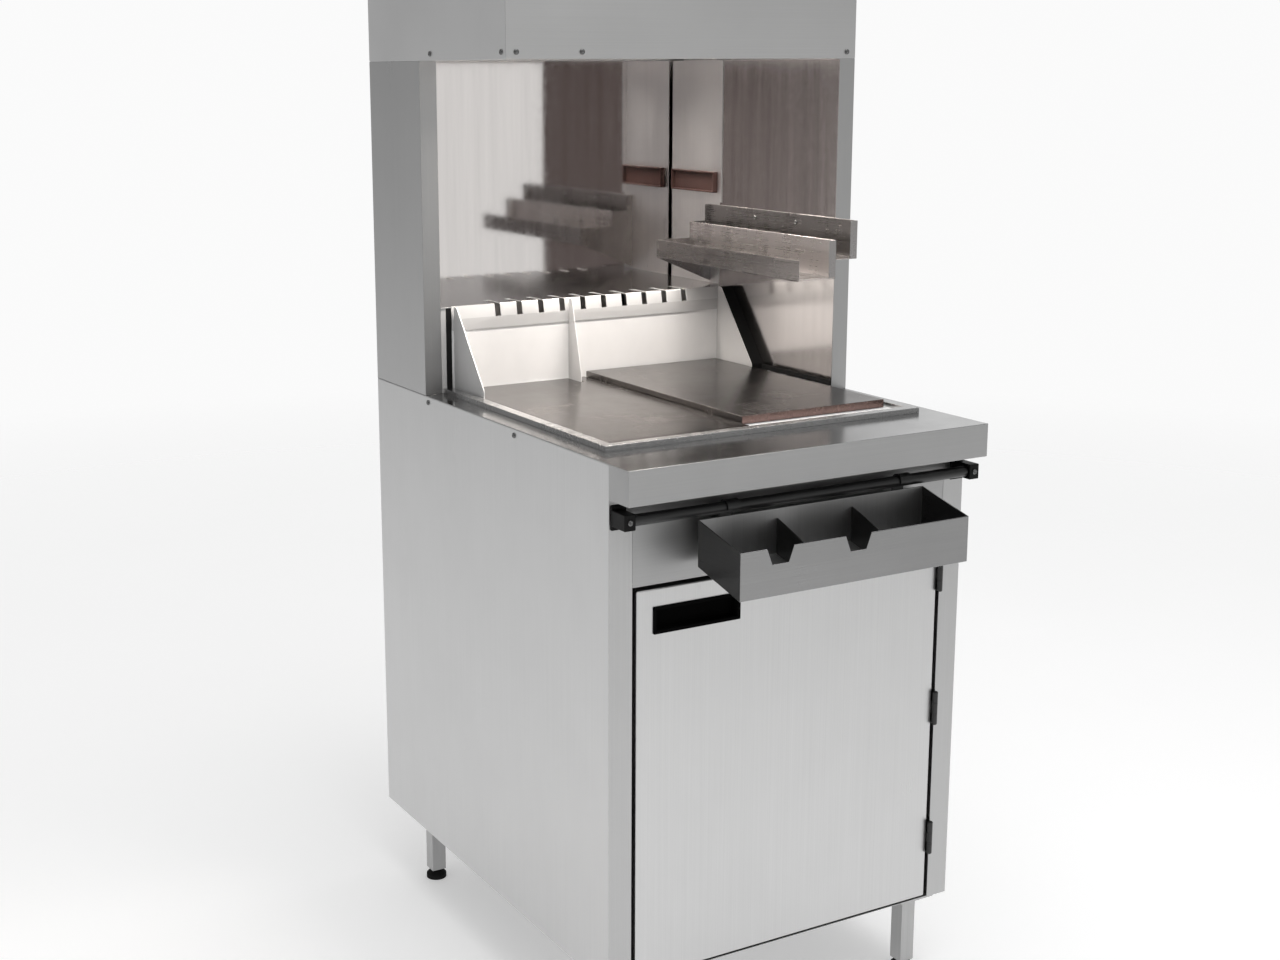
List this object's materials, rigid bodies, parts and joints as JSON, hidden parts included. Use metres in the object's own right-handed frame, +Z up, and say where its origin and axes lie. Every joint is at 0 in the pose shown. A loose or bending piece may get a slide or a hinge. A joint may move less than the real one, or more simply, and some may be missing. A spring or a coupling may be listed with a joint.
{
  "type": "heated serving station",
  "caption": "Free-standing stainless serving station: cupboard on legs, heated product well with slotted carton deck, lamp hood on a gantry, carton rack and hanging bin.",
  "frame": {"origin": "on the floor, under the middle of the bounding box", "axes": "+Z up, -Y towards the door and the user, +X to the right as the user faces it"},
  "size_m": [0.604, 0.8654, 1.6],
  "materials": {
    "brushed_steel": "satin brushed stainless steel",
    "polished_steel": "polished stainless steel",
    "plate_steel": "worn satin stainless steel",
    "bin_steel": "dull brushed stainless steel",
    "black_metal": "satin black",
    "black_plastic": "fine moulded grain",
    "black_rubber": "matt",
    "mat_rubber": "silicone heating mat",
    "mineral_wool": "fibrous slab",
    "quartz_glass": "clear quartz tube, lit",
    "ceramic": "glazed ceramic",
    "brown_plastic": "moulded dark brown",
    "bright_wire": "bright"
  },
  "bodies": {
    "cabinet": {"side_panels": "brushed_steel", "cabinet_back": "brushed_steel", "cabinet_floor": "brushed_steel", "stiles": "brushed_steel", "fascia_panel": "brushed_steel", "worktop": "brushed_steel", "legs": "brushed_steel", "leg_plugs": "black_plastic", "pan_rim": "polished_steel", "pan_floor": "polished_steel", "pan_back_wall": "polished_steel", "cheeks": "polished_steel", "middle_divider": "polished_steel", "carton_deck": "polished_steel", "gap_strips": "black_rubber", "heating_mat": "mat_rubber", "insulation_slab": "mineral_wool", "under_tray": "brushed_steel", "uprights": "brushed_steel", "right_screen": "polished_steel", "back_panel": "polished_steel", "hood_front": "brushed_steel", "hood_sides": "brushed_steel", "hood_cover": "brushed_steel", "hood_straps": "brushed_steel", "lamp_tray": "polished_steel", "lamp_reflectors": "polished_steel", "heat_lamps": "quartz_glass", "lamp_holders": "ceramic", "lamp_guards": "bright_wire", "rack_low_row": "brushed_steel", "rack_high_row": "brushed_steel", "rack_end_plates": "brushed_steel", "scoop_rest": "brown_plastic", "bin_rail": "black_metal", "rail_brackets": "black_plastic", "hinge_frame_leaves": "black_metal", "hinge_pins": "black_metal", "magnet_catch": "black_plastic", "control_box": "brushed_steel", "control_panel": "brushed_steel", "control_fittings": "black_plastic", "wiring_conduit": "brushed_steel", "cable_gland": "black_plastic", "screws": "bright_wire"},
    "door": {"door_skin": "brushed_steel", "door_liner": "brushed_steel", "door_pull": "black_plastic", "hinge_door_leaves": "black_metal"},
    "bin": {"bin_box": "bin_steel", "bin_dividers": "bin_steel", "bin_hooks": "black_metal"},
    "left_plate": {"left_plate": "plate_steel"},
    "right_tray": {"right_tray": "plate_steel"},
    "thermostat_knob": {"thermostat_knob": "black_plastic"},
    "switch_rocker": {"switch_rocker": "black_plastic"},
    "foot_front_left": {"foot_front_left": "black_rubber"},
    "foot_front_right": {"foot_front_right": "black_rubber"},
    "foot_rear_left": {"foot_rear_left": "black_rubber"},
    "foot_rear_right": {"foot_rear_right": "black_rubber"}
  },
  "joints": [
    {"name": "door_hinge", "type": "hinge", "parent": "cabinet", "child": "door", "pos_m": [0.261, -0.32285, 0.41], "axis": [0, 0, 1], "range_deg": [0, 110]},
    {"name": "bin_slide", "type": "slide", "parent": "cabinet", "child": "bin", "axis": [1, 0, 0], "range_m": [-0.09, 0.055]},
    {"name": "left_plate_lift", "type": "slide", "parent": "cabinet", "child": "left_plate", "axis": [0, 0, 1], "range_m": [0, 0.1]},
    {"name": "right_tray_lift", "type": "slide", "parent": "cabinet", "child": "right_tray", "axis": [0, 0, 1], "range_m": [0, 0.1]},
    {"name": "thermostat_turn", "type": "hinge", "parent": "cabinet", "child": "thermostat_knob", "pos_m": [0.2668, -0.23825, 0.64], "axis": [0, -1, 0], "range_deg": [0, 270]},
    {"name": "switch_rock", "type": "hinge", "parent": "cabinet", "child": "switch_rocker", "pos_m": [0.2268, -0.23325, 0.642], "axis": [1, 0, 0], "range_deg": [0, 16]},
    {"name": "foot_front_left_screw", "type": "slide", "parent": "cabinet", "child": "foot_front_left", "axis": [0, 0, -1], "range_m": [0, 0.025]},
    {"name": "foot_front_right_screw", "type": "slide", "parent": "cabinet", "child": "foot_front_right", "axis": [0, 0, -1], "range_m": [0, 0.025]},
    {"name": "foot_rear_left_screw", "type": "slide", "parent": "cabinet", "child": "foot_rear_left", "axis": [0, 0, -1], "range_m": [0, 0.025]},
    {"name": "foot_rear_right_screw", "type": "slide", "parent": "cabinet", "child": "foot_rear_right", "axis": [0, 0, -1], "range_m": [0, 0.025]}
  ]
}
